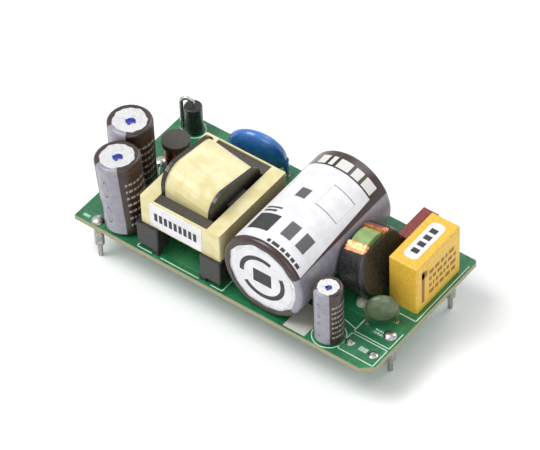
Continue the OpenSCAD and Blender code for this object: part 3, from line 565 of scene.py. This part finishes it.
def printTransformerLabel():  # a row of even blocks along the label
    low, high, middle = boxOf("transformer_label")
    onFront = flatPlace((low[0], low[1] - lift, low[2]), (1, 0, 0), (0, 0, 1))
    tall, step = (high[2] - low[2]) / mm, 1.05
    blocks = [(1.0 + k * step, 0.3 * tall, 1.7 + k * step, 0.66 * tall) for k in range(9)]
    patches("transformer_label_print", blocks, onFront, darkInk)


def printFilmCapacitor():
    low, high, middle = boxOf("film_capacitor_case")
    onSide = flatPlace((high[0] + lift, low[1], low[2]), (0, 1, 0), (0, 0, 1))
    blocks = [(1.4, 1.5, 2.2, 9.0), (1.4, 7.2, 3.0, 8.6)]
    for foot in (2.0, 3.6, 5.2, 6.8):
        blocks += inkRows(3.6, 11.4, foot, foot + 0.9, 1, int(foot * 7), 1.0)
    patches("case_side_print", blocks, onSide, brownInk)
    low, high, middle = boxOf("film_capacitor_sticker")
    onSticker = flatPlace((middle[0], middle[1], high[2] + lift), (1, 0, 0), (0, 1, 0))
    bars = [(-0.7, v, 0.7, v + 1.1) for v in (-3.3, -1.5, 0.3, 2.1)]
    patches("sticker_print", bars, onSticker, darkInk)


printReservoir()
printBoard()
printTransformerLabel()
printFilmCapacitor()
print("sleeves and print done")


# ---- floor, lamps and camera

room = {"floorColour": "#FFFFFF", "floorHalf": 1.6, "backdrop": 1.0, "ambient": 0.42,
        "aim": (0, 0, 0.01)}  # metres; backdrop is what the camera and mirrors see, ambient lights the rest
cameraView = {"azimuth": 38.528, "elevation": 46.079, "roll": -2.161, "lens": 235.36, "sensor": 36.0,
             "offset": (-0.497, 2.586, 611.445), "shift": (-0.002856, -0.004213),
             "boardTop": 8.6}  # degrees and millimetres; the offset is in the camera's own directions
lamps = [  # name, place, watts, size, colour
    ("keyLamp", (-0.35, -0.25, 0.75), 5.5, 0.5, "#FFFFFF"),
    ("fillLamp", (0.65, -0.55, 0.45), 2.2, 0.6, "#FFFFFF"),
    ("backLamp", (0.1, 0.75, 0.6), 3.0, 0.6, "#FFFFFF"),
]


def makeFloor():  # plain white sheet, seen as white, catching the object's shadow
    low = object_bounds()[0]
    half = room["floorHalf"]
    mesh = bpy.data.meshes.new("floor")
    mesh.from_pydata([(-half, -half, low[2]), (half, -half, low[2]), (half, half, low[2]),
                      (-half, half, low[2])], [], [(0, 1, 2, 3)])
    floor = bpy.data.objects.new("floor", mesh)
    bpy.context.scene.collection.objects.link(floor)
    material, tree, shader = newMaterial("PaperSweep", room["floorColour"], 0.9)
    mesh.materials.append(material)


def makeLamps():
    for name, place, watts, size, colour in lamps:
        data = bpy.data.lights.new(name, "AREA")
        data.energy = watts
        data.size = size
        data.color = linearColour(colour)[:3]
        lamp = bpy.data.objects.new(name, data)
        lamp.location = place
        lamp.rotation_mode = "QUATERNION"
        lamp.rotation_quaternion = (Vector(room["aim"]) - Vector(place)).to_track_quat("-Z", "Y")
        bpy.context.scene.collection.objects.link(lamp)
    world = bpy.data.worlds.new("whiteStudio")
    world.use_nodes = True
    tree = world.node_tree
    tree.nodes.clear()
    path = addNode(tree, "ShaderNodeLightPath").outputs
    seen = mathNode(tree, "MAXIMUM", path["Is Camera Ray"],
                    mathNode(tree, "MAXIMUM", path["Is Glossy Ray"], path["Is Transmission Ray"]))
    strength = valueMap(tree, seen, 0, 1, room["ambient"], room["backdrop"])
    background = addNode(tree, "ShaderNodeBackground", None,
                         {"Color": linearColour("#FFFFFF"), "Strength": strength})
    output = addNode(tree, "ShaderNodeOutputWorld")
    tree.links.new(background.outputs[0], output.inputs[0])
    bpy.context.scene.world = world


def makeCamera():  # the view is a turn about the upright, then a tilt, then a small roll
    a, e, r = [math.radians(cameraView[k]) for k in ("azimuth", "elevation", "roll")]
    back = np.array([math.sin(a) * math.cos(e), -math.cos(a) * math.cos(e), math.sin(e)])
    right = unitVector(np.cross([0, 0, 1], back))
    up = np.cross(back, right)
    turned = np.array([math.cos(r) * right + math.sin(r) * up, math.cos(r) * up - math.sin(r) * right, back])
    place = (turned.T @ np.array(cameraView["offset"]) + [0, 0, cameraView["boardTop"]]) * mm
    data = bpy.data.cameras.new("camera")
    data.sensor_width, data.lens = cameraView["sensor"], cameraView["lens"]
    data.shift_x, data.shift_y = cameraView["shift"]
    data.clip_start, data.clip_end = 0.01, 10
    camera = bpy.data.objects.new("camera", data)
    matrix = Matrix([list(row) + [0] for row in turned.T.tolist()] + [[0, 0, 0, 1]])
    matrix.translation = place.tolist()
    camera.matrix_world = matrix
    bpy.context.scene.collection.objects.link(camera)
    bpy.context.scene.camera = camera
    bpy.context.scene.view_settings.view_transform = "Standard"


makeFloor()
makeLamps()
makeCamera()
print("scene ready")
